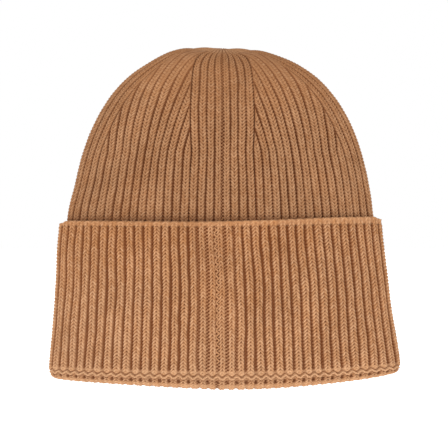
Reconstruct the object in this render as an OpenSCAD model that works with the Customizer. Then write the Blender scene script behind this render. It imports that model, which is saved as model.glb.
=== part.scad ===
// Ribbed knit beanie with a deep turned-up cuff, standing on its fold.
// The tube is a pointed oval, as a knitted hat that has been stored flat opens to.
// +Z runs up to the crown, -Y is the face with the joining seam, and the floor is Z = 0.

/* [Hat] */
// Width across the folded edge, side to side
hat_w = 210; // [190:1:230]
// Depth across the folded edge, front to back
hat_d = 92; // [84:1:120]
// Height from the fold to the crown
hat_h = 204; // [190:1:220]

/* [Body] */
// Width of the tube that the cuff wraps
body_w = 183; // [150:1:183]
// Depth of the tube that the cuff wraps
body_d = 68; // [56:1:68]
// Height at which the crown starts to narrow
crown_z = 142; // [130:1:150]
// Share of its width that the crown loses by tapering, on top of its dome
crown_taper = 0.115; // [0:0.005:0.2]

/* [Cuff] */
// Height of the cuff's free edge
cuff_z = 101; // [80:1:104]
// How far each side of the cuff leans in from the fold to its free edge
cuff_lean = 7; // [2:0.1:7]
// Height of the rolled fold
fold_h = 10; // [8:0.5:14]
// Height of the start edge, the firm band at the cuff's free edge
start_edge_h = 3.5; // [2:0.5:6]

/* [Knit] */
// Thickness of one knitted layer
knit_t = 4; // [3:0.1:4]
// Ribs across the front, and as many across the back
ribs_per_face = 38; // [38]
// Ribs in the strips that run up the middle of the front and the back
mid_strip_ribs = 8; // [6, 8]
// Ribs in the strips that run up the two side creases
side_strip_ribs = 6; // [4, 6, 8]

/* [Hidden] */

front = -1;
back = 1;
wool = [0.70, 0.50, 0.33];
wool_dark = [0.60, 0.41, 0.26];

body_a = body_w / 2;
body_b = body_d / 2;
fold_a = hat_w / 2;
fold_b = hat_d / 2;
quarter = ribs_per_face / 2;          // ribs from mid-face to a side crease
half_mid = mid_strip_ribs / 2;
half_side = side_strip_ribs / 2;
gore_ribs = quarter - half_mid - half_side;   // ribs across a gore where the crown starts
tip_gore_ribs = 1;                    // ribs left in a gore at the tip
joint_gap = 0.2;                      // clearance where fabric meets fabric on another body

// The tube's outline is |x/a|^2 + |y/b|^(5/4) = 1.
outline_power = 4 / 5;
// The crown's shape is drawn by an angle, from 0 at the cuff's edge to 90 at the tip.
dome_power = 0.8;                     // how its height grows with the angle
width_power = 0.73;                   // how it narrows from side to side
depth_power = 0.66;                   // a little fuller from front to back, so the tip is round
tip_angle = 86.8;
crown_angle = asin(pow((crown_z - cuff_z) / (hat_h - cuff_z), 1 / dome_power));
crown_steps = 12;

// Point of an oval of half width a and half depth b, at rib position e on a face,
// from 0 mid-face to 1 at the side crease
function oval(a, b, e, face) = [a * e, face * b * pow(max(0, 1 - e * e), outline_power)];

// Rib position of column i of a quarter, when its gore is w ribs wide
function column(i, w) =
    let (all_ribs = half_mid + w + half_side, gore_share = (i - half_mid) / gore_ribs)
    i <= half_mid ? i / all_ribs
    : i >= quarter - half_side ? 1 - (quarter - i) / all_ribs
    : (half_mid + gore_share * w) / all_ribs;

// Rib position and face of ring column i, counted anticlockwise from the left crease
function ring_column(i, w) =
    let (n = ribs_per_face, j = (i + 2 * n) % (2 * n), k = j % n, side = k < quarter ? -1 : 1,
         e = side * column(abs(k - quarter), w))
    j < n ? [e, front] : [-e, back];

// One ring level is [half width, half depth, height, gore width in ribs]
function ring_point(level, i) =
    let (c = ring_column(i, level[3]), p = oval(level[0], level[1], c[0], c[1]))
    [p[0], p[1], level[2]];

function level(a, b, z) = [a, b, z, gore_ribs];

// Ring level of the dome at an angle, inset from the outer surface
function dome_level(angle, inset) =
    let (h = pow(sin(angle), dome_power), taper = 1 - crown_taper * h)
    [(body_a - inset) * taper * pow(cos(angle), width_power),
     (body_b - inset) * taper * pow(cos(angle), depth_power),
     cuff_z + (hat_h - inset - cuff_z) * h,
     gore_width(angle)];

// The first decreases set in gently, and then a gore loses ribs at an even rate along the fabric
gore_start = 0.06;
function gore_width(angle) =
    let (share = max(0, (angle - crown_angle) / (tip_angle - crown_angle)),
         eased = share * share * (1 + gore_start) / (share + gore_start))
    gore_ribs - (gore_ribs - tip_gore_ribs) * pow(eased, 0.72);

function crown_levels(inset) =
    [for (i = [0 : crown_steps])
        dome_level(crown_angle + (tip_angle - crown_angle) * i / crown_steps, inset)];

function quad(a, b, c, d) = [[a, b, c], [a, c, d]];
function flatten(lists) = [for (l = lists) each l];
function reversed(list) = [for (i = [len(list) - 1 : -1 : 0]) list[i]];

// A section swept right round the oval: levels go up the outside and down the inside
module ring_sweep(levels) {
    n = len(levels);
    m = 2 * ribs_per_face;
    points = [for (l = levels) for (i = [0 : m - 1]) ring_point(l, i)];
    faces = flatten([for (j = [0 : n - 1]) for (i = [0 : m - 1])
        let (k = (j + 1) % n, i2 = (i + 1) % m)
        quad(j * m + i, k * m + i, k * m + i2, j * m + i2)]);
    polyhedron(points, faces);
}

// A panel of fabric between ring columns first and last, from its outer and inner levels
module panel(outer, inner, first, last) {
    levels = concat(outer, reversed(inner));
    n = len(levels);
    m = last - first + 1;
    points = [for (l = levels) for (i = [first : last]) ring_point(l, i)];
    skin = flatten([for (j = [0 : n - 1]) for (i = [0 : m - 2])
        let (k = (j + 1) % n)
        quad(j * m + i, k * m + i, k * m + i + 1, j * m + i + 1)]);
    edges = flatten([for (j = [0 : len(outer) - 2])
        let (o = n - 1 - j)
        concat(quad(j * m, o * m, (o - 1) * m, (j + 1) * m),
               quad(j * m + m - 1, (j + 1) * m + m - 1, o * m - 1, o * m + m - 1))]);
    polyhedron(points, concat(skin, edges));
}

// A flat strip of seam w wide, through centre points that run up its outer face and down its inner one
module seam_strip(outer, inner, w) {
    centre = concat(outer, reversed(inner));
    n = len(centre);
    points = [for (p = centre) for (x = [-w / 2, w / 2]) [x, p[0], p[1]]];
    sides = flatten([for (j = [0 : n - 1]) let (k = (j + 1) % n)
        quad(2 * j, 2 * k, 2 * k + 1, 2 * j + 1)]);
    ends = flatten([for (j = [0 : len(outer) - 2]) let (o = n - 1 - j)
        concat(quad(2 * j, 2 * o, 2 * o - 2, 2 * j + 2),
               quad(2 * j + 1, 2 * j + 3, 2 * o - 1, 2 * o + 1))]);
    polyhedron(points, concat(sides, ends));
}

/* Cuff: the part of the tube that is turned up outside the body */

chain_t = 0.6;
wall_a = fold_a - chain_t;            // outer face of the cuff at the fold
wall_b = fold_b - chain_t;
top_a = wall_a - cuff_lean;           // outer face of the cuff at its free edge
top_b = wall_b - cuff_lean + 1.6;    // the faces lean less than the sides
edge_z = cuff_z - start_edge_h;

function cuff_b(z) = wall_b + (top_b - wall_b) * (z - fold_h) / (edge_z - fold_h);

module cuff_shell() {
    color(wool) ring_sweep([
        level(wall_a, wall_b, fold_h),
        level(top_a, top_b, edge_z - joint_gap),
        level(top_a - knit_t, top_b - knit_t, edge_z - joint_gap),
        level(wall_a - knit_t, wall_b - knit_t, fold_h)
    ]);
}

module cuff_start_edge() {
    round = 1.2;
    color(wool) ring_sweep([
        level(top_a, top_b, edge_z),
        level(top_a, top_b, cuff_z - round),
        level(top_a - round, top_b - round, cuff_z),
        level(top_a - knit_t + round, top_b - knit_t + round, cuff_z),
        level(top_a - knit_t, top_b - knit_t, cuff_z - round),
        level(top_a - knit_t, top_b - knit_t, edge_z)
    ]);
}

// The fold closes the gap between the cuff and the body, and is flat where it stands
module cuff_fold() {
    inner_a = body_a - knit_t;
    inner_b = body_b - knit_t;
    color(wool) ring_sweep([
        level(wall_a, wall_b, fold_h / 2),
        level(wall_a, wall_b, fold_h),
        level(inner_a, inner_b, fold_h),
        level(inner_a - 0.6, inner_b - 0.6, fold_h / 2),
        level(inner_a + 0.6, inner_b + 0.6, fold_h / 6),
        level(inner_a + 3.2, inner_b + 3.2, 0),
        level(wall_a - 4, wall_b - 4, 0),
        level(wall_a - 1.2, wall_b - 1.2, fold_h / 5)
    ]);
}

// One course of looser loops marks the line on which the cuff turns up
module turning_chain() {
    low = 5.2;
    high = 7.8;
    color(wool) ring_sweep([
        level(wall_a + 0.05, wall_b + 0.05, low),
        level(fold_a, fold_b, low + 0.7),
        level(fold_a, fold_b, high - 0.7),
        level(wall_a + 0.05, wall_b + 0.05, high)
    ]);
}

// The join lies in the gap beside the middle rib
module cuff_seam() {
    low = fold_h + 6;
    high = edge_z - 1;
    t = 0.5;
    half_rib = wall_a / quarter / 2;
    color(wool_dark) translate([-half_rib, 0, 0]) seam_strip(
        [for (z = [low, high]) [front * (cuff_b(z) + 0.08), z]],
        [for (z = [low, high]) [front * (cuff_b(z) + 0.08 + t), z]], seam_w);
}

/* Body: the tube and the crown that narrows it */

// The stretch of the tube behind the cuff, which draws out as the cuff is turned down
module inner_band() {
    top = cuff_z - joint_gap;
    color(wool) ring_sweep([
        level(body_a, body_b, fold_h),
        level(body_a, body_b, top),
        level(body_a - knit_t, body_b - knit_t, top),
        level(body_a - knit_t, body_b - knit_t, fold_h)
    ]);
}

module body_tube() {
    steps = 5;
    rise = function (inset) [for (i = [0 : steps]) dome_level(crown_angle * i / steps, inset)];
    color(wool) ring_sweep(concat(rise(0), reversed(rise(knit_t))));
}

module crown_panel(first, last) {
    color(wool) panel(crown_levels(0), crown_levels(knit_t), first, last);
}

// Columns of the ring at which each face, crease, strip and gore starts
mid_front = quarter;
right_crease = 2 * quarter;
mid_back = 3 * quarter;
left_crease = 4 * quarter;

module strip(centre, half) crown_panel(centre - half, centre + half);
module gore(after, half_before, half_after)
    crown_panel(after + half_before, after + quarter - half_after);

// The last stitches of the four strips, drawn together
module crown_tip() {
    top = dome_level(tip_angle, 0);
    bottom = dome_level(tip_angle, knit_t);
    m = 2 * ribs_per_face;
    points = concat([for (l = [top, bottom]) for (i = [0 : m - 1]) ring_point(l, i)],
        [[0, 0, top[2]], [0, 0, bottom[2]]]);
    faces = flatten([for (i = [0 : m - 1]) let (i2 = (i + 1) % m)
        concat([[2 * m, i2, i], [2 * m + 1, m + i, m + i2]], quad(i, i2, m + i2, m + i))]);
    color(wool) polyhedron(points, faces);
}

// The yarn end is drawn through the last stitches and knotted under the tip
yarn_r = 1.1;
gather_r = 3.2;
gather_z = dome_level(tip_angle, knit_t)[2] - yarn_r - 0.05;

module gathering_yarn() {
    color(wool) translate([0, 0, gather_z])
        rotate_extrude($fn = 40) translate([gather_r, 0]) circle(yarn_r, $fn = 20);
}

module closing_knot() {
    color(wool) translate([0, 0, gather_z - 1.2]) sphere(1.9, $fn = 24);
}

// The knitted panel's two edges are linked together down the middle of the front
seam_w = 3;
seam_t = 1;
seam_off = 0.1;

module band_seam() {
    inner = body_b - knit_t - seam_off;
    run = function (y) [for (z = [fold_h + 3, cuff_z - 1]) [front * y, z]];
    color(wool_dark) seam_strip(run(inner - seam_t), run(inner), seam_w);
}

module crown_seam() {
    last_angle = 74;
    steps = 8;
    path = function (inset) [for (i = [0 : steps])
        let (l = dome_level(last_angle * i / steps, inset)) [front * l[1], l[2]]];
    color(wool_dark) seam_strip(path(knit_t + seam_off + seam_t), path(knit_t + seam_off), seam_w);
}

cuff_shell();
cuff_start_edge();
cuff_fold();
turning_chain();
cuff_seam();
inner_band();
band_seam();
body_tube();
strip(mid_front, half_mid);  // strip_front
strip(mid_back, half_mid);  // strip_back
strip(left_crease, half_side);  // strip_left
strip(right_crease, half_side);  // strip_right
gore(0, half_side, half_mid);  // gore_front_left
gore(mid_front, half_mid, half_side);  // gore_front_right
gore(right_crease, half_side, half_mid);  // gore_back_right
gore(mid_back, half_mid, half_side);  // gore_back_left
crown_tip();
gathering_yarn();
closing_knot();
crown_seam();
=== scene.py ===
"""A camel rib-knit beanie with a deep turned-up cuff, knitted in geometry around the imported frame.

Lengths are millimetres until a mesh is made. The fabric has its own coordinates: rib counts wales
round the hat from the left crease, through the front, the right crease and the back, and run is the
length of fabric in millimetres along a wale. Ribs, stitches, the chain at the fold and the firm start
edge are all displacements of smooth base surfaces that follow the CAD solids.
"""

import math

import bpy
import numpy as np
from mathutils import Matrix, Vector


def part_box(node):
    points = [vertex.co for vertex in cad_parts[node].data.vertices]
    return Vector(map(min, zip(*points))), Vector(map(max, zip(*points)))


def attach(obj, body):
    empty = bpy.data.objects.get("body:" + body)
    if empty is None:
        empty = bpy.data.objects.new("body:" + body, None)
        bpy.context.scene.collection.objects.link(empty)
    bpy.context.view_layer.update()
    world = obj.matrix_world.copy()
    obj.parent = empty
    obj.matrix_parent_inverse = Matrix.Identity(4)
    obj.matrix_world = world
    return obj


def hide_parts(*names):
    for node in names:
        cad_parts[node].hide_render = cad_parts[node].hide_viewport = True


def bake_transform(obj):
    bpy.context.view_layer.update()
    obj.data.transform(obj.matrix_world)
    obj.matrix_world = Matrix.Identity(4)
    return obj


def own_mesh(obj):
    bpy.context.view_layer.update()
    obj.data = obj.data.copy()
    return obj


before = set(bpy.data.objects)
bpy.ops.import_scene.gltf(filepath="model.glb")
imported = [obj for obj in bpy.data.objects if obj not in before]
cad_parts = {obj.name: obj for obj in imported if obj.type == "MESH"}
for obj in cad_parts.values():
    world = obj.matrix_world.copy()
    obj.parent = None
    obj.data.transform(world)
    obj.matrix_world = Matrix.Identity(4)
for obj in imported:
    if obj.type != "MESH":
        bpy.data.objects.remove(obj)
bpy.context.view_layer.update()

MM = 0.001

# ---- knit

RIBS_PER_FACE = 38
RIBS = 2 * RIBS_PER_FACE
QUARTER = RIBS_PER_FACE / 2
MID_FRONT = QUARTER
RIGHT_CREASE = 2 * QUARTER
MID_BACK = 3 * QUARTER
HALF_MID_STRIP = 4  # ribs on each side of mid-face in the straight strips
HALF_SIDE_STRIP = 3  # ribs on each side of a crease in the straight strips
GORE_RIBS = QUARTER - HALF_MID_STRIP - HALF_SIDE_STRIP
TIP_GORE_RIBS = 1
COURSE = 2.05  # height of one stitch
LAYER = 4.0  # thickness of one knitted layer

COLUMNS_PER_RIB = 12
ROWS_PER_COURSE = 6
BACK_COLUMNS_PER_RIB = 3
TIP_PROUD = 0.2


def box_mm(node):
    low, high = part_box(node)
    return np.array(low) / MM, np.array(high) / MM


_, fold_high = box_mm("cuff_fold")
edge_low, edge_high = box_mm("cuff_start_edge")
tube_low, tube_high = box_mm("body_tube")
_, tip_high = box_mm("crown_tip")

FOLD_A, FOLD_B, FOLD_TOP = fold_high
EDGE_A, EDGE_B, CUFF_TOP = edge_high
EDGE_BOTTOM = edge_low[2]
BODY_A, BODY_B = tube_high[:2]
CROWN_BOTTOM = tube_low[2]
HAT_TOP = tip_high[2] + TIP_PROUD


# ---- small mathematics

DRIFT_WAVES = 5
DRIFT_PACE = 0.55  # each wave runs this much faster than the one before
DRIFT_FADE = 0.5
DRIFT_SPREAD = 2.2  # brings the sum of the waves to about 1
HASH_WALE, HASH_COURSE, HASH_SEED, HASH_SCALE = 127.1, 311.7, 74.7, 43758.5453
TINY = 1e-9


def smooth(low, high, x):
    """0 below low, 1 above high, and an even curve between."""
    t = np.clip((x - low) / (high - low), 0, 1)
    return t * t * (3 - 2 * t)


def bump(x, centre, width):
    """A rounded hill of height 1."""
    return np.exp(-((x - centre) / width) ** 2)


def plateau(x, foot, low, high, top):
    """1 between low and high, and 0 below foot and above top."""
    return smooth(top, high, x) * smooth(foot, low, x)


def drift(seed, *coordinates):
    """Smooth noise between about -1 and 1: a few waves whose directions and phases come from the seed.

    A coordinate is scaled by the caller, so that the slowest wave changes over a few units of it."""
    rng = np.random.default_rng(seed)
    total = 0
    for octave in range(DRIFT_WAVES):
        pace = 1.0 + DRIFT_PACE * octave
        phase = rng.uniform(0, 2 * math.pi)
        angle = phase
        for coordinate in coordinates:
            angle = angle + rng.uniform(-1, 1) * pace * coordinate
        total = total + np.sin(angle) / (1 + DRIFT_FADE * octave)
    return total / DRIFT_SPREAD


def stitch_noise(seed, wale, course):
    """A value between -1 and 1 that is constant over one stitch and unrelated to its neighbours'."""
    wave = np.sin(wale * HASH_WALE + course * HASH_COURSE + seed * HASH_SEED) * HASH_SCALE
    return 2 * (wave - np.floor(wave)) - 1


# ---- base surfaces

OUTLINE_POWER = 0.8
EDGE_CROWDING = 0.045  # ribs near a crease look this much narrower, because they turn away
CROWDING_POWER = 6  # and how close to the crease that begins
PROUD = 0.8  # the tops of the stitches stand this far off the CAD surface


def face_and_share(rib):
    """Which face a rib is on, -1 front and 1 back, and its place across it, -1 left to 1 right."""
    turn = np.mod(rib, RIBS)
    front = turn <= RIBS_PER_FACE
    share = np.where(front, (turn - MID_FRONT) / QUARTER, -(turn - MID_BACK) / QUARTER)
    return np.where(front, -1.0, 1.0), np.clip(share, -1, 1)


def oval(half_width, half_depth, face, share):
    spread = share * (1 + EDGE_CROWDING * (1 - np.abs(share) ** CROWDING_POWER))
    x = (half_width + PROUD) * spread
    y = face * (half_depth + PROUD) * np.power(np.maximum(0, 1 - spread * spread), OUTLINE_POWER)
    return x, y


def normals_of(grid):
    """Unit normals of a grid (rows, columns, 3), pointing out where columns run anticlockwise and rows up."""
    up = np.gradient(grid, axis=0)
    across = np.gradient(grid, axis=1)
    n = np.cross(across, up)
    return n / np.maximum(np.linalg.norm(n, axis=2, keepdims=True), TINY)


# ---- stitches

RIB_HALF = 0.395  # half the width of a rib, as a share of the pitch
GROOVE = 2.2  # depth of the gap between two ribs
LEG_SLANT = 1.10  # courses that a stitch's leg climbs from the middle of a rib to its side
LEG_RELIEF = 0.62
LEG_SHADE = 0.58  # how dark the line between two legs is
CREASE = 0.35  # depth of the line down the middle of a rib, where two legs meet
HOLE = 0.80  # extra depth between two stitches on that line
RIB_POWER = 2.6  # how flat the top of a rib's section is
RIB_EDGE = 0.12  # the section's height where the rib runs out into the gap
RIB_FOOT = 1.3  # where that run-out ends, in half widths of a rib
CUFF_SEED = 11
CROWN_SEED = 51
WANDER = 0.07  # ribs that a wale strays from its place over a few courses
WANDER_FINE = 0.035
COURSE_STRAY = 0.10  # courses that a wale is out of step with its neighbours
SLACK = 0.09
OPEN_WIDTH = 0.45  # ribs on each side of a loose gap that give way to it
OPEN_SLACK = 0.26
OPEN_FILL = 0.25
OPEN_PURL = 1.8
OPEN_BEAD = 1.5
OPEN_PURL_LIGHT = 0.50
LEG_END = 1.15  # where a leg stops climbing, in half widths of a rib
LEG_POWER = 0.85
LEG_VARIETY = 0.40  # how much the depth between two legs varies
LEG_BULGE = 0.20  # a rib is this much wider at the thick of a leg than at its ends
RIDGE_MEAN = 0.6
CREASE_WIDTH = 0.25
PURL_POWER = 0.8
PURL_RELIEF = 0.45
PURL_LIGHT = 0.22
GAP_START = 0.66  # where the shade of the gap begins, in half widths of a rib
HOLE_VARIETY = 0.30
CREASE_SHADE = 0.30
HOLE_DEEP_SHADE = 0.62
TONE_MIDDLE = 0.5
STITCH_TONE = 0.32
DRIFT_TONE = 0.15
# Painted highlight: the crest of each leg is painted paler and the rest of it darker.
RIDGE_PAINTED_HIGHLIGHT = 0.55
RIDGE_HIGHLIGHT_MIDDLE = 0.75


def rib_profile(side):
    """Height of a rib, 0 in the gap and 1 on the rib. side is 0 on its middle line and 1 at its edge."""
    round_top = np.sqrt(np.maximum(0, 1 - np.clip(side, 0, 1) ** RIB_POWER))
    run_out = RIB_EDGE * (1 - smooth(1.0, RIB_FOOT, side))
    return np.where(side < 1, RIB_EDGE + (1 - RIB_EDGE) * round_top, run_out)


def knit(rib, run, seed, legs_up=1, gap_shift=0.0, loose_gaps=(), rib_half=RIB_HALF, groove=GROOVE,
         relief=LEG_RELIEF, leg_shade=LEG_SHADE, hole_shade=1.0):
    """Displacement, painted shade (cavity) and tone of 1x1 rib at fabric coordinates; the tone holds painted
    light as well.

    legs_up is 1 where stitches look like a V and -1 where they hang like an inverted V. loose_gaps are
    the gaps, counted in ribs, that lie wider open and show their purl bumps, each with how open it is."""
    wander = WANDER * drift(seed, rib * 0.8, run / 15.0)
    wander = wander + WANDER_FINE * drift(seed + 2, rib * 2.1, run / 4.5)
    shifted = rib + gap_shift + wander
    wale = np.floor(shifted)
    across = shifted - wale - 0.5
    openness = 0
    for gap, amount in loose_gaps:
        openness = np.maximum(openness, amount * bump(rib, gap, OPEN_WIDTH))
    course = run / COURSE + COURSE_STRAY * stitch_noise(seed, wale, 0)
    course = course + COURSE_STRAY * drift(seed + 11, rib * 0.7, run / 30)
    slack = 1 + SLACK * drift(seed + 7, rib * 1.7, run / 9.0) - OPEN_SLACK * openness
    side = np.abs(across) / (rib_half * slack)

    leg = course - legs_up * LEG_SLANT * np.clip(side, 0, LEG_END)
    leg_index = np.floor(leg)
    ridge = np.sin(math.pi * (leg - leg_index)) ** LEG_POWER
    half = wale * 2 + (across > 0)
    strength = 1 + LEG_VARIETY * stitch_noise(seed + 3, half, leg_index)
    side = side / (1 + LEG_BULGE * (ridge - RIDGE_MEAN))
    crease = np.exp(-(side / CREASE_WIDTH) ** 2)
    on_rib = smooth(1.1, 0.85, side)
    left_of_gap = across > 0
    purl = np.abs(np.sin(math.pi * (course + 0.5 * left_of_gap))) ** PURL_POWER

    height = groove * (rib_profile(side) - 1) * (1 - OPEN_FILL * openness)
    height = height - relief * strength * (1 - ridge) * on_rib
    height = height - crease * (CREASE + HOLE * (1 - ridge))
    height = height + PURL_RELIEF * (purl - 0.5) * (1 - on_rib) * (1 + OPEN_PURL * openness)

    bead = purl ** (1 + OPEN_BEAD * openness)
    # The cavity shade is painted shade: the gaps, the lines between legs and the holes are painted darker.
    cavity_shade = smooth(GAP_START, 1.0, side) * (1 - (PURL_LIGHT + OPEN_PURL_LIGHT * openness) * bead)
    cavity_shade = np.maximum(cavity_shade, leg_shade * (1 - ridge) * strength * on_rib)
    hole = hole_shade * (1 + HOLE_VARIETY * stitch_noise(seed + 4, wale, leg_index))
    cavity_shade = np.maximum(cavity_shade, hole * crease * (CREASE_SHADE + HOLE_DEEP_SHADE * (1 - ridge)))
    # The tone is partly the wool's random stitch and dye tone and partly painted light, which is added here
    # and in the pieces.
    tone_and_painted_light = TONE_MIDDLE + STITCH_TONE * stitch_noise(seed + 9, half, leg_index) * on_rib
    tone_and_painted_light = tone_and_painted_light + DRIFT_TONE * drift(seed + 5, rib * 0.9, run / 22.0)
    # Painted highlight on the crests of the legs.
    tone_and_painted_light = tone_and_painted_light + RIDGE_PAINTED_HIGHLIGHT * (ridge - RIDGE_HIGHLIGHT_MIDDLE) * on_rib
    return height, np.clip(cavity_shade, 0, 1), tone_and_painted_light


# ---- meshes

def zip_border(left, right):
    """Triangles between two rows of vertices of different counts."""
    faces = []
    i = j = 0
    while i < len(left) - 1 or j < len(right) - 1:
        ahead = (i + 1) / max(1, len(left) - 1) <= (j + 1) / max(1, len(right) - 1)
        if j == len(right) - 1 or (ahead and i < len(left) - 1):
            faces.append((left[i], left[i + 1], right[j]))
            i += 1
        else:
            faces.append((left[i], right[j + 1], right[j]))
            j += 1
    return np.array(faces)


def grid_faces(ids):
    """Two triangles per cell of a grid. They face out where rows run up and columns anticlockwise."""
    a, b = ids[:-1, :-1].ravel(), ids[:-1, 1:].ravel()
    c, d = ids[1:, 1:].ravel(), ids[1:, :-1].ravel()
    return np.vstack([np.column_stack([a, b, c]), np.column_stack([a, c, d])])


def make_mesh(name, points, triangles, cavity_shade, tone_and_painted_light, sharp=()):
    """A smooth mesh from points in millimetres, with the two shader attributes on its points."""
    mesh = bpy.data.meshes.new(name)
    mesh.vertices.add(len(points))
    mesh.vertices.foreach_set("co", (points * MM).astype(np.float32).ravel())
    count = len(triangles)
    mesh.loops.add(3 * count)
    mesh.loops.foreach_set("vertex_index", triangles.astype(np.int32).ravel())
    mesh.polygons.add(count)
    mesh.polygons.foreach_set("loop_start", np.arange(0, 3 * count, 3, dtype=np.int32))
    mesh.update(calc_edges=True)
    mesh.polygons.foreach_set("use_smooth", np.ones(count, dtype=bool))
    for label, values in (("cavity_shade", cavity_shade), ("tone_and_painted_light", tone_and_painted_light)):
        layer = mesh.attributes.new(label, "FLOAT", "POINT")
        layer.data.foreach_set("value", values.astype(np.float32).ravel())
    if len(sharp):
        mark_sharp(mesh, sharp)
    mesh.validate()
    piece = bpy.data.objects.new(name, mesh)
    bpy.context.scene.collection.objects.link(piece)
    return piece


def mark_sharp(mesh, loops):
    """Sharp edges along each border loop, so that a panel's cut side doesn't shade its face."""
    ends = np.empty(2 * len(mesh.edges), dtype=np.int32)
    mesh.edges.foreach_get("vertices", ends)
    ends = ends.reshape(-1, 2)
    sharp = np.zeros(len(ends), dtype=bool)
    for loop in loops:
        member = np.zeros(len(mesh.vertices), dtype=bool)
        member[loop] = True
        sharp |= member[ends].all(axis=1)
    layer = mesh.attributes.get("sharp_edge") or mesh.attributes.new("sharp_edge", "BOOLEAN", "EDGE")
    layer.data.foreach_set("value", sharp)


def panel_piece(name, outer, inner, closed=False):
    """A closed piece of fabric. outer and inner are (points, painted shade, tone with painted light) grids
    with the same columns.

    A panel has two cut sides; a closed one runs right round the hat and joins itself."""
    (front, cavity_shade, tone_and_painted_light), (back, back_cavity_shade, back_tone) = outer, inner
    points = np.vstack([front.reshape(-1, 3), back.reshape(-1, 3)])
    front_ids = np.arange(front[..., 0].size).reshape(front.shape[:2])
    back_ids = front_ids.size + np.arange(back[..., 0].size).reshape(back.shape[:2])
    if closed:
        front_ids = np.column_stack([front_ids, front_ids[:, 0]])
        back_ids = np.column_stack([back_ids, back_ids[:, 0]])
    faces = [grid_faces(front_ids), grid_faces(back_ids)[:, ::-1]]
    faces.append(zip_border(front_ids[-1], back_ids[-1]))
    faces.append(zip_border(front_ids[0], back_ids[0])[:, ::-1])
    sharp = []
    if not closed:
        faces.append(zip_border(front_ids[:, 0], back_ids[:, 0]))
        faces.append(zip_border(front_ids[:, -1], back_ids[:, -1])[:, ::-1])
        sharp = [front_ids[:, 0], front_ids[:, -1], back_ids[:, 0], back_ids[:, -1]]
    return make_mesh(name, points, np.vstack(faces), np.append(cavity_shade, back_cavity_shade),
                     np.append(tone_and_painted_light, back_tone), sharp)


def columns_between(first, last, per_rib):
    return np.linspace(first, last, int(round((last - first) * per_rib)) + 1)


# ---- cuff

SEAM_GAP = MID_FRONT - 0.5  # the gap in which the cuff's two edges are linked
SEAM_OPENNESS = (0.5, 0.9, 1.0, 0.9, 0.5)  # of that gap and two on each side of it
LOOSE_CUFF_GAPS = tuple((SEAM_GAP + k - 2, amount) for k, amount in enumerate(SEAM_OPENNESS))
CUFF_LOOK = {"legs_up": -1, "gap_shift": 0.5, "loose_gaps": LOOSE_CUFF_GAPS}
SWELL = 0.8
SWELL_FINE = 0.35
FREE_SWELL = 0.88  # share of a face beyond which a crease holds it flat
HEM_LIFT = 4.8  # how far the fold curls up at the left crease
HEM_LIFT_RIGHT = 7.9
HEM_REACH = 11.0
HEM_REACH_RIGHT = 16.0
HEM_POWER = 1.05  # how late the left side begins to curl up
HEM_POWER_MORE = 0.85
CORNER_DROP = 1.5  # how far the free edge dips at a crease
CORNER_START = 0.93
EDGE_TILT = 2.6
EDGE_STRAY = 0.35
FLARE = 2.7  # how far the cuff stands out low on its right side
FLARE_START = 0.7
FLARE_TOP, FLARE_FULL = 58.0, 14.0
ROUNDING = 2.0
ROUNDING_START = 0.80
ROUNDING_TOP = 14.0
TOP_SHIFT = 1.6  # how far the cuff's top leans to the left
TOP_SHIFT_START = 55.0
LEFT_TOP_HOLD = 0.5  # how much less it does so at the very corner
LEFT_TOP_LOW, LEFT_TOP_HIGH = 78.0, 97.0
DROP_START = 30.0
EDGE_BAND_LOW = EDGE_BOTTOM - 0.4
EDGE_BAND_HIGH = EDGE_BOTTOM + 1.0
EDGE_FLOOR = -0.9  # the gaps of the start edge are no deeper than this
EDGE_RELIEF = 0.55
EDGE_SINK = 0.2
EDGE_SHADE = 0.5
PINHOLE_RISE = 1.5
PINHOLE_WIDTH, PINHOLE_HEIGHT = 0.12, 0.55
PINHOLE_DEPTH = 0.6
PINHOLE_SHADE = 0.75
# Painted light and shade: the cuff is painted paler low down, between PALE_TOP and PALE_FULL, and darker
# towards its top, between DARK_START and DARK_FULL.
CUFF_LOW_PAINTED_LIGHT = 0.20
CUFF_TOP_PAINTED_SHADE = 0.20
PALE_TOP, PALE_FULL = 70.0, 15.0
DARK_START, DARK_FULL = 65.0, 98.0
PANEL_RISE_RIGHT = 1.3  # a rise listed for the right-hand panels in the cuff's plan
BACK_ROW_SKIP = 4
BACK_DEPTH = LAYER * 0.85  # from the smooth surface to the back of a layer
INNER_A = BODY_A - LAYER
INNER_B = BODY_B - LAYER
DEPTH_INSET = (FOLD_B - INNER_B) / (FOLD_A - INNER_A)


def soft_swell(seed, share, height):
    """How far the fabric stands off its even shape, in millimetres."""
    slow = SWELL * drift(seed, share * 5.0, height / 26.0)
    return slow + SWELL_FINE * drift(seed + 1, share * 17.0, height / 12.0)


def hem_lift(share, height):
    """The fold curls up towards the creases, and the lift dies out up the cuff."""
    right = smooth(-0.05, 0.05, share)
    lift = HEM_LIFT + (HEM_LIFT_RIGHT - HEM_LIFT) * right
    reach = HEM_REACH + (HEM_REACH_RIGHT - HEM_REACH) * right
    across = np.abs(share) ** (HEM_POWER + HEM_POWER_MORE * right)
    return lift * across * np.exp(-np.maximum(0, height) / reach)


def edge_drop(face, share):
    """The free edge dips at the creases, and it rises evenly to the right."""
    corner = smooth(CORNER_START, 1.0, np.abs(share)) ** 1.5
    tilt = EDGE_TILT * smooth(-0.2, 1.0, share)
    return -CORNER_DROP * corner + tilt + EDGE_STRAY * drift(21, share * 7.0, face)


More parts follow.
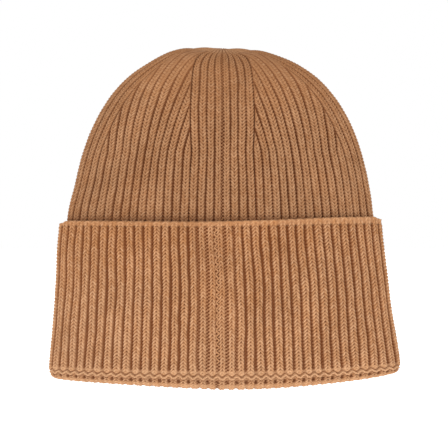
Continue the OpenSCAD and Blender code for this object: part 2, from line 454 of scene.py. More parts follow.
def place(ribs, height, half_width, half_depth, inset):
    """Points of the cuff and its fold: an oval at each height, moved in by inset, with the soft swells."""
    face, share = face_and_share(ribs)
    edge = smooth(1.0, FREE_SWELL, np.abs(share))
    swell = soft_swell(4, share + 3 * face, height) * edge * smooth(14.0, 0.0, inset)
    flare = FLARE * smooth(FLARE_START, 1.0, share) * smooth(FLARE_TOP, FLARE_FULL, height)
    corner = smooth(ROUNDING_START, 1.0, np.abs(share))
    rounding = ROUNDING * corner * smooth(ROUNDING_TOP, 0.0, height) ** 2
    depth = half_depth - DEPTH_INSET * inset + swell
    x, y = oval(half_width - inset + flare - rounding, depth, face, share)
    left_top = smooth(-0.5, -1.0, share) * smooth(LEFT_TOP_LOW, LEFT_TOP_HIGH, height)
    x = x - TOP_SHIFT * smooth(TOP_SHIFT_START, CUFF_TOP, height) * (1 - LEFT_TOP_HOLD * left_top)
    dropped = 0.5 * smooth(DROP_START, EDGE_BOTTOM, height)
    dropped = dropped + 0.5 * smooth(EDGE_BOTTOM, CUFF_TOP - 0.5, height)
    z = height + hem_lift(share, height) + edge_drop(face, share) * dropped
    return np.dstack([x, y, z])


def cuff_surface(ribs, heights):
    """Base points of the cuff's outer face, rows up from the fold."""
    rib, height = np.meshgrid(ribs, heights)
    up = (height - FOLD_TOP) / (EDGE_BOTTOM - FOLD_TOP)
    half_width = FOLD_A + (EDGE_A - FOLD_A) * np.minimum(up, 1)
    half_depth = FOLD_B + (EDGE_B - FOLD_B) * np.minimum(up, 1)
    return place(rib, height, half_width, half_depth, 0 * height)


def with_margin(values):
    """The values with one more step at each end."""
    first = 2 * values[0] - values[1]
    last = 2 * values[-1] - values[-2]
    return np.concatenate([[first], values, [last]])


def surface_with_normals(surface, ribs, rows):
    """Base points and normals, taken on a wider grid so that neighbouring pieces agree at their border."""
    wide = surface(with_margin(ribs), with_margin(rows))
    return wide[1:-1, 1:-1], normals_of(wide)[1:-1, 1:-1]


def start_band(look, ribs, heights):
    """Turns knit into the firm start edge above the last gap: flat, with a pinhole over each rib."""
    height, cavity_shade, tone_and_painted_light = look
    rib, up = np.meshgrid(ribs, heights)
    across = np.mod(rib + 0.5, 1) - 0.5
    band = smooth(EDGE_BAND_LOW, EDGE_BAND_HIGH, up)
    above = up - EDGE_BOTTOM - PINHOLE_RISE
    hole = np.exp(-(across / PINHOLE_WIDTH) ** 2 - (above / PINHOLE_HEIGHT) ** 2)
    flat = -EDGE_SINK + np.maximum(height, EDGE_FLOOR) * EDGE_RELIEF
    height = height * (1 - band) + band * flat - PINHOLE_DEPTH * hole
    cavity_shade = np.maximum(cavity_shade * (1 - 0.55 * band), PINHOLE_SHADE * hole)
    cavity_shade = cavity_shade * (1 - band) + np.minimum(cavity_shade, EDGE_SHADE) * band
    return height, cavity_shade, tone_and_painted_light


def plain(points):
    """A face of fabric that is out of sight: no stitches."""
    flat = np.full(points.shape[:2], TONE_MIDDLE)
    return points, flat, flat


def raised(base, normal, height, cavity_shade, tone_and_painted_light):
    """A face of fabric that can be seen: its stitches stand off the base."""
    return base + normal * height[..., None], cavity_shade, tone_and_painted_light


def back_face(surface, ribs, rows, depth):
    """The hidden side of a piece, at a depth under its smooth surface."""
    base, normal = surface_with_normals(surface, ribs, rows)
    return plain(base - depth * normal)


def cuff_panel(name, first, last):
    ribs = columns_between(first, last, COLUMNS_PER_RIB)
    courses = (EDGE_BOTTOM - FOLD_TOP) / COURSE
    heights = np.linspace(FOLD_TOP, EDGE_BOTTOM, int(courses * ROWS_PER_COURSE) + 1)
    base, normal = surface_with_normals(cuff_surface, ribs, heights)
    rib, run = np.meshgrid(ribs, heights)
    look = turning_course(knit(rib, run, CUFF_SEED, **CUFF_LOOK), rib, run)
    height, cavity_shade, tone_and_painted_light = start_band(look, ribs, heights)
    # Painted light low on the cuff and painted shade near its top.
    tone_and_painted_light = tone_and_painted_light + CUFF_LOW_PAINTED_LIGHT * smooth(PALE_TOP, PALE_FULL, run) - CUFF_TOP_PAINTED_SHADE * smooth(DARK_START, DARK_FULL, run)
    back_ribs = columns_between(first, last, BACK_COLUMNS_PER_RIB)
    back = back_face(cuff_surface, back_ribs, heights[::BACK_ROW_SKIP], BACK_DEPTH)
    piece = panel_piece(name, raised(base, normal, height, cavity_shade, tone_and_painted_light), back)
    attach(piece, "fold")
    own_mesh(piece)
    return piece


RIM = LAYER / 2
RIM_HEIGHT = RIM * 0.7
RIM_ROWS = 26
RIM_ROW_SKIP = 5
RIM_BACK = 4.2
RIM_CORE = 1.2
RIM_FLAT_START, RIM_FLAT = 4.5, 6.5
RIM_FLAT_SINK = 0.3


def rim_surface(ribs, rows):
    """The start edge's section, from its foot up the outer face, over the rim and down the inner face."""
    rib, step = np.meshgrid(ribs, rows)
    rise = CUFF_TOP - RIM_HEIGHT - EDGE_BOTTOM
    arc = math.pi * RIM
    angle = np.clip((step - rise) / arc, 0, 1) * math.pi
    inset = RIM * (1 - np.cos(angle))
    over = RIM_HEIGHT * np.sin(angle)
    height = EDGE_BOTTOM + np.minimum(step, rise) + over - np.maximum(0, step - rise - arc)
    return place(rib, height, EDGE_A + 0 * rib, EDGE_B + 0 * rib, inset)


def ring_ribs(per_rib):
    """Rib coordinates right round the hat, without a second one where they meet."""
    return np.linspace(0, RIBS, RIBS * per_rib + 1)[:-1]


def start_edge():
    """The cuff's free edge, with its rolled rim. It moves with the free edge's body."""
    ribs = ring_ribs(COLUMNS_PER_RIB)
    rows = np.linspace(0, 2 * (CUFF_TOP - EDGE_BOTTOM) + RIM_BACK, RIM_ROWS)
    base, normal = surface_with_normals(rim_surface, ribs, rows)
    rib, step = np.meshgrid(ribs, rows)
    look = knit(rib, EDGE_BOTTOM + step, CUFF_SEED, **CUFF_LOOK)
    height, cavity_shade, tone_and_painted_light = start_band(look, ribs, EDGE_BOTTOM + rows)
    # The start edge gets the same painted shade as the top of the cuff.
    tone_and_painted_light = tone_and_painted_light - CUFF_TOP_PAINTED_SHADE
    behind = smooth(RIM_FLAT_START, RIM_FLAT, step)
    height = height * (1 - behind) - RIM_FLAT_SINK * behind
    core = back_face(rim_surface, ring_ribs(BACK_COLUMNS_PER_RIB), rows[::RIM_ROW_SKIP], RIM_CORE)
    piece = panel_piece("start_edge", raised(base, normal, height, cavity_shade, tone_and_painted_light), core, closed=True)
    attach(piece, "free_edge")
    return piece


# ---- fold

FOLD_ROLL = 5.0  # radius of the fold's turns
FOLD_ARCH = 0.9
FOLD_CORE = 2.6
# Painted light: the fold is painted a little paler.
FOLD_PAINTED_LIGHT = 0.05
FACE_LENGTH = 12.0  # length of the section that can be seen from the front
UNSEEN_HEIGHT = -50.0  # stands for the rest, which has no turning course
UNDER_LIGHT = 0.25
CHAIN_HEIGHT = 7.4
CHAIN_SWING = 0.85
CHAIN_RADIUS = 0.54
CHAIN_LIFT = 0.15
CHAIN_CREASE_SINK = 1.1
CHAIN_PER_RIB = 10
# Painted light: the lowest courses of the cuff are painted paler, between HEM_TONE_TOP and HEM_TONE_FULL.
HEM_PAINTED_LIGHT = 0.22
HEM_TONE_TOP, HEM_TONE_FULL = 17.0, 9.0
JOIN_WIDTH = 0.3
TURN_RANGE = (-5.0, -2.0, 2.0, 3.6)  # heights where the ribs flatten as they turn under
LOW_FLAT = 0.55
LOW_SINK = 0.25
LOW_LIGHT = 0.72
CLOSED_RANGE = (5.4, 6.6, 9.4, 12.4)  # and where the gaps are closed, around the chain
CLOSED_FLAT = 0.75
CLOSED_SINK = 0.35
CLOSED_LIGHT = 0.85
OVER_LINE, UNDER_LINE = 1.35, 1.15  # the grooves above and below the chain
LINE_DEPTH = 0.5
LINE_SHADE = 0.72
PEAK_HEIGHT = 4.9  # the dark points under the chain, between the ribs
PEAK_DEPTH = 0.7
PEAK_SHADE = 0.85


def fold_surface(ribs, rows):
    """The fold's section. Row coordinate runs from the outer face down, under and up the inner face."""
    rib, step = np.meshgrid(ribs, rows)
    quarter = math.pi / 2 * FOLD_ROLL
    straight = FOLD_TOP - FOLD_ROLL
    floor = FOLD_A - INNER_A - 2 * FOLD_ROLL
    down = np.clip(step, None, straight)
    turn = np.clip((step - straight) / quarter, 0, 1) * math.pi / 2
    under = np.clip(step - straight - quarter, 0, floor)
    back = np.clip((step - straight - quarter - floor) / quarter, 0, 1) * math.pi / 2
    up = np.maximum(0, step - straight - 2 * quarter - floor)
    inset = FOLD_ROLL * (1 - np.cos(turn)) + under + FOLD_ROLL * np.sin(back)
    height = FOLD_TOP - down - FOLD_ROLL * np.sin(turn) + FOLD_ROLL * (1 - np.cos(back)) + up
    arch = FOLD_ARCH * np.sin(math.pi * np.clip(under / floor, 0, 1)) ** 2
    return place(rib, height + arch, FOLD_A + 0 * rib, FOLD_B + 0 * rib, inset)


def turning_course(look, rib, height_up):
    """The course on which the cuff turns: gaps close above it, and rib ends are round."""
    height, cavity_shade, tone_and_painted_light = look
    # Painted light on the lowest courses.
    tone_and_painted_light = tone_and_painted_light + HEM_PAINTED_LIGHT * smooth(HEM_TONE_TOP, HEM_TONE_FULL, height_up)
    across = np.mod(rib + 0.5, 1) - 0.5
    at_join = bump(rib, SEAM_GAP, JOIN_WIDTH)
    low = plateau(height_up, *TURN_RANGE) * (1 - at_join)
    height = height * (1 - LOW_FLAT * low) - LOW_SINK * low
    cavity_shade = cavity_shade * (1 - LOW_LIGHT * low)
    closed = plateau(height_up, *CLOSED_RANGE)
    line = CHAIN_HEIGHT - CHAIN_SWING * np.cos(2 * math.pi * rib)
    lines = bump(height_up, line + OVER_LINE, 0.6) + 0.7 * bump(height_up, line - UNDER_LINE, 0.45)
    peaks = bump(height_up, PEAK_HEIGHT, 1.3) * bump(0.5 - np.abs(across), 0, 0.22)
    height = height * (1 - CLOSED_FLAT * closed) - CLOSED_SINK * closed
    height = height - LINE_DEPTH * lines - PEAK_DEPTH * peaks
    # Painted shade in the grooves above and below the chain and at the dark points under it.
    groove_shade = np.maximum(LINE_SHADE * lines, PEAK_SHADE * peaks)
    return height, np.maximum(cavity_shade * (1 - CLOSED_LIGHT * closed), groove_shade), tone_and_painted_light


def fold():
    """The rolled fold along the bottom of the cuff, from its outer face to its inner one."""
    ribs = ring_ribs(COLUMNS_PER_RIB)
    length = 2 * (FOLD_TOP - FOLD_ROLL) + math.pi * FOLD_ROLL + (FOLD_A - INNER_A) - 2 * FOLD_ROLL
    rows = np.linspace(length, 0, int(length / COURSE * ROWS_PER_COURSE) + 1)
    base, normal = surface_with_normals(fold_surface, ribs, rows)
    rib, step = np.meshgrid(ribs, rows)
    run = FOLD_TOP - step
    look = knit(rib, run, CUFF_SEED, **CUFF_LOOK)
    on_face = np.where(step < FACE_LENGTH, run, UNSEEN_HEIGHT)
    height, cavity_shade, tone_and_painted_light = turning_course(look, rib, on_face)
    # Painted light on the fold.
    tone_and_painted_light = tone_and_painted_light + FOLD_PAINTED_LIGHT
    under = smooth(8.0, FACE_LENGTH, step)
    cavity_shade = cavity_shade * (1 - UNDER_LIGHT * under)
    core = back_face(fold_surface, ring_ribs(BACK_COLUMNS_PER_RIB), rows[::BACK_ROW_SKIP], FOLD_CORE)
    piece = panel_piece("rolled_fold", raised(base, normal, height, cavity_shade, tone_and_painted_light), core, closed=True)
    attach(piece, "fold")
    return piece


YARN_SIDES = 8
YARN_HELPER = (0.31, 0.17, 0.94)  # a direction that no yarn here runs along
PLY_RELIEF = 0.16
PLY_SHADE = 0.35


def yarn(name, path, radius, closed=False, twist=2.4, tone_and_painted_light=0.6):
    """A two-ply yarn along a path in millimetres. twist is the length of one turn of the plies."""
    path = np.asarray(path, float)
    if closed:
        ahead, behind = np.roll(path, -1, axis=0), np.roll(path, 1, axis=0)
    else:
        ahead = np.vstack([path[1:], path[-1:]])
        behind = np.vstack([path[:1], path[:-1]])
    tangent = ahead - behind
    tangent /= np.linalg.norm(tangent, axis=1, keepdims=True)
    first = np.cross(tangent, np.tile(YARN_HELPER, (len(path), 1)))
    first /= np.linalg.norm(first, axis=1, keepdims=True)
    second = np.cross(tangent, first)
    length = np.concatenate([[0], np.cumsum(np.linalg.norm(np.diff(path, axis=0), axis=1))])
    angle = np.linspace(0, 2 * math.pi, YARN_SIDES + 1)[:-1]
    ply = 2 * angle[None, :] - 2 * math.pi * length[:, None] / twist
    r = radius * (1 + PLY_RELIEF * np.cos(ply))
    offset = np.cos(angle)[None, :, None] * first[:, None] + np.sin(angle)[None, :, None] * second[:, None]
    points = path[:, None] + r[..., None] * offset
    ids = np.arange(points[..., 0].size).reshape(points.shape[:2])
    ring = np.column_stack([ids, ids[:, 0]])
    flat = points.reshape(-1, 3)
    values = (PLY_SHADE * (1 - np.cos(ply)) / 2).ravel()
    faces = [grid_faces(ring)]
    if closed:
        faces = [grid_faces(np.vstack([ring, ring[:1]]))]
    else:
        flat = np.vstack([flat, path[:1], path[-1:]])
        values = np.append(values, [0, 0])
        for row, centre, flip in ((ids[0], len(flat) - 2, 1), (ids[-1], len(flat) - 1, -1)):
            fan = np.column_stack([row, np.roll(row, -1), np.full(YARN_SIDES, centre)])
            faces.append(fan[:, ::-flip])
    return make_mesh(name, flat, np.vstack(faces), values, np.full(len(flat), tone_and_painted_light))


RIB_STEP = 0.05
ROW_STEP = 0.2


def around(value, step):
    """A value with its two neighbours."""
    return np.array([value - step, value, value + step])


def surface_point(surface, rib, row, lift):
    """Points lifted off a surface at lists of rib and row coordinates."""
    points = []
    for r, s, h in zip(rib, row, lift):
        grid = surface(around(r, RIB_STEP), around(s, ROW_STEP))
        normal = normals_of(grid if grid[2, 1, 2] > grid[0, 1, 2] else grid[::-1])[1, 1]
        points.append(grid[1, 1] + normal * h)
    return np.array(points)


def turning_chain():
    """One course of looser loops, hanging like a garland along the fold."""
    ribs = ring_ribs(CHAIN_PER_RIB)
    swing = np.cos(2 * math.pi * ribs)
    heights = CHAIN_HEIGHT - CHAIN_SWING * swing
    _, share = face_and_share(ribs)
    lift = CHAIN_LIFT + CHAIN_LIFT * swing - CHAIN_CREASE_SINK * smooth(0.955, 0.995, np.abs(share))
    path = surface_point(fold_surface, ribs, FOLD_TOP - heights, lift)
    # The chain's yarn is painted at the palest tone: a painted highlight on the raised garland.
    piece = yarn("turning_chain_yarn", path, CHAIN_RADIUS, closed=True, tone_and_painted_light=1.0)
    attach(piece, "fold")
    return piece


# ---- body and crown

CROWN_START = 142.0
CROWN_TAPER = 0.115
DOME_POWER = 0.8
WIDTH_POWER = 0.73
DEPTH_POWER = 0.66
TIP_ANGLE = math.radians(86.8)
CROWN_RISE = HAT_TOP - CROWN_BOTTOM
CROWN_ANGLE = math.asin(((CROWN_START - CROWN_BOTTOM) / CROWN_RISE) ** (1 / DOME_POWER))
CROWN_LOOK = {"legs_up": 1, "gap_shift": 0.0, "loose_gaps": ((MID_FRONT, 1.0),), "rib_half": 0.447,
              "groove": 2.3, "relief": 0.48, "leg_shade": 0.38, "hole_shade": 0.82}
GORE_EASE = 0.12  # ribs of a gore lie this much wider than those of the strips
GORE_START = 0.06  # how gently the first decreases set in
GORE_POWER = 0.72  # how soon most of them are done
CROWDED_FROM = math.radians(52)
GORE_CROWDING = 0.15
SIDE_CROWDING = 0.20
FAR = 9.0  # stands for the distance to a decrease line outside the gores
PATH_SAMPLES = 320
PATH_POWER = 1.3
SAG = 0.9  # how far the slack crown stands off its even shape
FREE_SAG = 0.85
SAG_START = 20.0
TOP_LOW = 178.0
TOP_LEAN = 0.13
TOP_SINK = 0.6
TOP_SWELLS = (  # height, place and width of each soft swell of the top
    (2.3, -29.0, 14.0),
    (0.9, 22.0, 10.0),
    (-0.9, 9.0, 8.0),
    (0.45, -21.0, 6.0),
    (0.3, 2.0, 4.0),
)
HELD_HEIGHT = 4.5  # how far above and below the cuff's edge the tube is drawn in
HELD_DEPTH = 1.1
LEFT_PUSH = 2.2
LEFT_PUSH_TOP = 128.0
CROWN_LENGTH = 140.0
HIGH_FROM, HIGH_FULL = 150.0, 198.0  # where stitches get flatter, their painted shade in the gaps paler and the top painted darker
HIGH_WOBBLE = 0.10
HIGH_FLAT = 0.30
HIGH_LIGHT = 0.28
# Painted shade: the top of the crown, which faces the light, is painted darker.
TOP_PAINTED_SHADE = 0.45
LINE_WIDTH = 0.22  # half the width of a decrease line, in ribs
LINE_CORE = 0.03
DECREASE_DEPTH = GROOVE * 0.35
DECREASE_SHADE = 0.40
FOOT_SHADE = 0.50  # how dark the crown is where it goes into the cuff
FOOT_SHADE_HEIGHT = 2.8
NARROW_PITCH, FULL_PITCH = 0.4, 4.2  # stitches are flat on ribs narrower than this
BACK_ROWS_SHARE = 5
BAND_TIGHTNESS = 0.67  # how short the hidden band's stitches are
BAND_TUCK = 1.5  # how far the band reaches down into the fold
BAND_COLUMNS_PER_RIB = 8
BAND_ROWS_PER_COURSE = 3


def gore_width(angle):
    """How many ribs a gore still has at an angle of the dome."""
    share = np.clip((angle - CROWN_ANGLE) / (TIP_ANGLE - CROWN_ANGLE), 0, 1)
    eased = share * share * (1 + GORE_START) / (share + GORE_START)
    return GORE_RIBS - (GORE_RIBS - TIP_GORE_RIBS) * eased ** GORE_POWER


def dome(angle):
    """Half width, half depth and height of the crown at an angle, 0 at the cuff's edge and 90 at the tip."""
    up = np.sin(angle) ** DOME_POWER
    taper = 1 - CROWN_TAPER * up
    half_width = BODY_A * taper * np.cos(angle) ** WIDTH_POWER
    half_depth = BODY_B * taper * np.cos(angle) ** DEPTH_POWER
    return half_width, half_depth, CROWN_BOTTOM + CROWN_RISE * up


def narrowed(base_rib, angle):
    """Where a rib of the tube goes on the crown: its face, its place across it, its own rib count there,
    and how many ribs it is from the nearest decrease line (large in the straight strips)."""
    face, share = face_and_share(base_rib)
    from_mid = np.abs(share) * QUARTER
    width = gore_width(angle)
    crowded = smooth(CROWDED_FROM, TIP_ANGLE, angle)
    ease = 1 + GORE_EASE * smooth(CROWN_ANGLE, TIP_ANGLE * 0.6, angle)
    room = width * ease * (1 - GORE_CROWDING * crowded)
    side_room = HALF_SIDE_STRIP * (1 - SIDE_CROWDING * crowded)
    total = HALF_MID_STRIP + room + side_room
    in_gore = (from_mid > HALF_MID_STRIP) & (from_mid < QUARTER - HALF_SIDE_STRIP)
    across = (from_mid - HALF_MID_STRIP) / GORE_RIBS
    from_side = (QUARTER - from_mid) * side_room / HALF_SIDE_STRIP
    spot = np.where(from_mid <= HALF_MID_STRIP, from_mid, total - from_side)
    spot = np.where(in_gore, HALF_MID_STRIP + across * room, spot)
    centre = base_rib - (across - 0.5) * GORE_RIBS * np.sign(share) * -face
    rib = np.where(in_gore, centre + (base_rib - centre) * width / GORE_RIBS, base_rib + 0 * angle)
    to_line = np.where(in_gore, np.minimum(across, 1 - across) * width, FAR)
    return face, np.sign(share) * spot / total, rib, to_line


def crown_top(x, y, z):
    """The soft top: low shoulders, a dip between them, and a lean towards the front."""
    near_top = smooth(TOP_LOW, HAT_TOP, z)
    swells = sum(height * bump(x, centre, width) for height, centre, width in TOP_SWELLS)
    return near_top * (swells + TOP_LEAN * y - TOP_SINK)


def waist(face, share, z):
    """Where the cuff holds the tube: its faces are drawn in, and its left side is pushed out."""
    held = bump(z, CROWN_BOTTOM, HELD_HEIGHT)
    depth = -HELD_DEPTH * face * held * smooth(1.0, FREE_SAG, np.abs(share))
    width = -LEFT_PUSH * smooth(LEFT_PUSH_TOP, CROWN_BOTTOM + 2, z) * smooth(0.1, 1.0, -share) ** 2
    return width, depth


def crown_path(base_ribs, lift=0.0):
    """Each column's path from the cuff's edge to the tip, with its rib counts and distances to a decrease."""
    angle = TIP_ANGLE * np.linspace(0, 1, PATH_SAMPLES)[:, None] ** PATH_POWER
    face, share, rib, to_line = narrowed(base_ribs[None, :], angle)
    half_width, half_depth, z = dome(angle)
    x, y = oval(half_width + lift, half_depth + lift, face, share)
    edge = smooth(1.0, FREE_SAG, np.abs(share))
    set_in = smooth(CROWN_BOTTOM, CROWN_BOTTOM + SAG_START, z)
    sag = SAG * drift(33, share * 3.0 + 5 * face, z / 30.0) * set_in
    width, depth = waist(face, share, z)
    return np.dstack([x + width, y + depth + face * sag * edge, z + crown_top(x, y, z)]), rib, to_line


def resampled_crown(base_ribs, rows, lift=0.0):
    """Rows of crown points, spaced evenly along each column, with the rib count, the distance to a
    decrease line and the length so far at each."""
    path, rib, to_line = crown_path(base_ribs, lift)
    steps = np.linalg.norm(np.diff(path, axis=0), axis=2)
    along = np.vstack([np.zeros(path.shape[1]), np.cumsum(steps, axis=0)])
    values = np.dstack([path, rib, to_line, along])
    even = np.empty((rows, *values.shape[1:]))
    for c in range(len(base_ribs)):
        groove_shade = np.linspace(0, along[-1, c], rows)
        for k in range(values.shape[2]):
            even[:, c, k] = np.interp(groove_shade, along[:, c], values[:, c, k])
    return even[..., :3], even[..., 3], even[..., 4], even[..., 5]


def crown_panel(name, solid, first, last):
    base_ribs = columns_between(first, last, COLUMNS_PER_RIB)
    rows = int(CROWN_LENGTH / COURSE * ROWS_PER_COURSE)
    wide, *measures = resampled_crown(with_margin(base_ribs), rows)
    normal = normals_of(wide)[:, 1:-1]
    points, ribs, lines, runs = (grid[:, 1:-1] for grid in (wide, *measures))
    z = points[..., 2]
    high = smooth(HIGH_FROM, HIGH_FULL, z)
    wobble = HIGH_WOBBLE * high * drift(61, ribs * 1.3, runs / 7.0)
    height, cavity_shade, tone_and_painted_light = knit(ribs + wobble, runs, CROWN_SEED, **CROWN_LOOK)
    at_line = smooth(LINE_WIDTH, LINE_CORE, lines)
    height = height * (1 - at_line) - DECREASE_DEPTH * at_line
    cavity_shade = np.maximum(cavity_shade, DECREASE_SHADE * at_line)
    height = height * (1 - HIGH_FLAT * high)
    cavity_shade = cavity_shade * (1 - HIGH_LIGHT * high)
    # Painted shade darkens the top of the crown.
    tone_and_painted_light = tone_and_painted_light - TOP_PAINTED_SHADE * high
    cavity_shade = np.maximum(cavity_shade, FOOT_SHADE * bump(z, CROWN_BOTTOM, FOOT_SHADE_HEIGHT))
    pitch = np.linalg.norm(np.gradient(wide, axis=1)[:, 1:-1], axis=2) * COLUMNS_PER_RIB
    height = height * smooth(NARROW_PITCH, FULL_PITCH, pitch)
    back_ribs = columns_between(first, last, BACK_COLUMNS_PER_RIB)
    back, *_ = resampled_crown(back_ribs, rows // BACK_ROWS_SHARE, lift=-BACK_DEPTH)
    piece = panel_piece(name, raised(points, normal, height, cavity_shade, tone_and_painted_light), plain(back))
    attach(piece, "crown")
    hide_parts(solid)
    return piece


def band_surface(ribs, rows):
    """The tube behind the cuff, straight up from the fold to the crown."""
    rib, height = np.meshgrid(ribs, rows)
    face, share = face_and_share(rib)
    x, y = oval(BODY_A + 0 * rib, BODY_B + 0 * rib, face, share)
    width, depth = waist(face, share, height)
    return np.dstack([x + width, y + depth, height + hem_lift(share, height)])


def inner_band(name, first, last):
    """Half of the tube behind the cuff, between the two bodies."""
    ribs = columns_between(first, last, BAND_COLUMNS_PER_RIB)
    bottom = FOLD_TOP - BAND_TUCK
    courses = (CROWN_BOTTOM - bottom) / (COURSE * BAND_TIGHTNESS)
    heights = np.linspace(bottom, CROWN_BOTTOM, int(courses * BAND_ROWS_PER_COURSE) + 1)
    base, normal = surface_with_normals(band_surface, ribs, heights)
    rib, height_up = np.meshgrid(ribs, heights)
    look = knit(rib, (height_up - CROWN_BOTTOM) / BAND_TIGHTNESS, CROWN_SEED, **CROWN_LOOK)
    back_ribs = columns_between(first, last, BAND_COLUMNS_PER_RIB // 2)
    back = back_face(band_surface, back_ribs, heights[::BAND_ROWS_PER_COURSE], BACK_DEPTH)
    piece = panel_piece(name, raised(base, normal, *look), back)
    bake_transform(piece)
    return piece


TIP_COLUMNS_PER_RIB = 6
TIP_RIM = -14  # the sample of a column's path where the pucker begins
TIP_ROWS = 16
TIP_HOLE = 0.02
TIP_RISE = 0.5
TIP_SWELL, TIP_DIP = 0.9, 1.6
TIP_THICKNESS = 2.2
PLEAT_DEPTH = 0.55
PLEAT_POWER = 0.7
PLEAT_SHADE, TIP_HOLE_SHADE = 0.8, 0.6
TIP_SINK = 0.35


def crown_tip():
    """The last stitches, drawn together into a small pucker."""
    base_ribs = ring_ribs(TIP_COLUMNS_PER_RIB)
    path, rib, _ = crown_path(base_ribs)
    rim = path[TIP_RIM]
    shares = np.linspace(1, TIP_HOLE, TIP_ROWS)
    centre = np.array([0, 0, rim[:, 2].max() + TIP_RISE])
    points = np.empty((TIP_ROWS, len(base_ribs), 3))
    for row, share in enumerate(shares):
        swell = TIP_SWELL * math.sin(math.pi * min(1, share * 1.05)) - TIP_DIP * (1 - share) ** 2
        points[row] = centre + (rim - centre) * share + np.array([0, 0, swell])
    pleat = np.abs(np.sin(math.pi * rib[TIP_RIM]))[None, :] ** PLEAT_POWER
    depth = PLEAT_DEPTH * smooth(0.0, 0.35, shares)[:, None] * (pleat - 1)
    points[..., 2] += depth - TIP_SINK
    cavity_shade = PLEAT_SHADE * (1 - pleat) * smooth(0.1, 0.6, shares)[:, None]
    cavity_shade = cavity_shade + TIP_HOLE_SHADE * smooth(0.4, 0.0, shares)[:, None]
    under = points[::5].copy()
    under[..., 2] -= TIP_THICKNESS
    tone_and_painted_light = np.full(points.shape[:2], TONE_MIDDLE)
    piece = panel_piece("crown_tip_pucker", (points, np.clip(cavity_shade, 0, 1), tone_and_painted_light), plain(under), closed=True)
    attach(piece, "crown")
    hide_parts("crown_tip")
    return piece


# ---- linking and gathering yarn

SEAM_STEP = 0.4
SEAM_SWING = 0.75
SEAM_SINK = 1.15
SEAM_RADIUS = 0.42
SEAM_TWIST = 1.8
INSIDE_STEP = 0.5
INSIDE_STITCH = 5.0
INSIDE_SWING, INSIDE_LOOP = 1.0, 0.35
INSIDE_GAP = 0.9
INSIDE_RADIUS = 0.5
INSIDE_TWIST = 2.0
GATHER_RADIUS = 0.95
GATHER_INSET = 1.1
GATHER_WAVE = 0.3
KNOT_SIZE = 0.42
KNOT_RADIUS = 0.62


def cuff_seam():
    """The yarn that links the cuff's two edges, zigzagging up their gap."""
    low, high = box_mm("cuff_seam")
    heights = np.arange(low[2], high[2], SEAM_STEP)
    swing = np.sin(2 * math.pi * heights / COURSE / 2)
    path = []
    for z, side in zip(heights, swing):
        point = cuff_surface(around(SEAM_GAP, RIB_STEP), around(z, ROW_STEP))[1, 1]
        path.append(point + np.array([SEAM_SWING * side, SEAM_SINK, 0]))
    piece = yarn("cuff_linking_yarn", np.array(path), SEAM_RADIUS, twist=SEAM_TWIST)
    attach(piece, "fold")
    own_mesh(piece)
    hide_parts("cuff_seam")
    return piece


def inside_seam(name, solid):
    """The linking inside the front: a yarn that swings across the join and back on its way up."""
    low, high = box_mm(solid)
    angle = TIP_ANGLE * np.linspace(0, 0.86, 200)
    _, depth, height = dome(angle)
    inner_y = -(depth - BACK_DEPTH - INSIDE_GAP)
    z = np.arange(low[2], high[2], INSIDE_STEP)
    y = np.interp(z, height, inner_y, left=inner_y[0])
    swing = INSIDE_SWING * np.sin(2 * math.pi * z / INSIDE_STITCH)
    loop = INSIDE_LOOP * np.cos(4 * math.pi * z / INSIDE_STITCH)
    return yarn(name, np.column_stack([swing, y + loop, z]), INSIDE_RADIUS, twist=INSIDE_TWIST)


def seams():
    band = inside_seam("band_linking_yarn", "band_seam")
    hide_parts("band_seam")
    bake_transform(band)
    crown = inside_seam("crown_linking_yarn", "crown_seam")
    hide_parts("crown_seam")
    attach(crown, "crown")
    return [band, crown]


def gathering():
    """The yarn drawn through the last stitches, and the knot that closes it."""
    low, high = box_mm("gathering_yarn")
    middle = (low + high) / 2
    turn = np.linspace(0, 2 * math.pi, 97)[:-1]
    radius = high[0] - GATHER_INSET
    wave = middle[2] + GATHER_WAVE * np.sin(5 * turn)
    ring = np.column_stack([radius * np.cos(turn), radius * np.sin(turn), wave])
    yarn_ring = yarn("gathering_yarn_ring", ring, GATHER_RADIUS, closed=True)
    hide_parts("gathering_yarn")
    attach(yarn_ring, "crown")
    low, high = box_mm("closing_knot")
    turn = np.linspace(0, 2 * math.pi, 121)[:-1]
    trefoil = np.column_stack([np.sin(turn) + 2 * np.sin(2 * turn),
                               np.cos(turn) - 2 * np.cos(2 * turn),
                               -np.sin(3 * turn)])
    knot = yarn("closing_knot_yarn", (low + high) / 2 + KNOT_SIZE * trefoil, KNOT_RADIUS, closed=True)
    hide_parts("closing_knot")
    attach(knot, "crown")
    return [yarn_ring, knot]


# ---- materials

DYE_SPREAD = 0.10
FIBRE_SPREAD = 0.20


def add_node(tree, kind, **inputs):
    made = tree.nodes.new(kind)
    for key, value in inputs.items():
        made.inputs[key].default_value = value
    return made


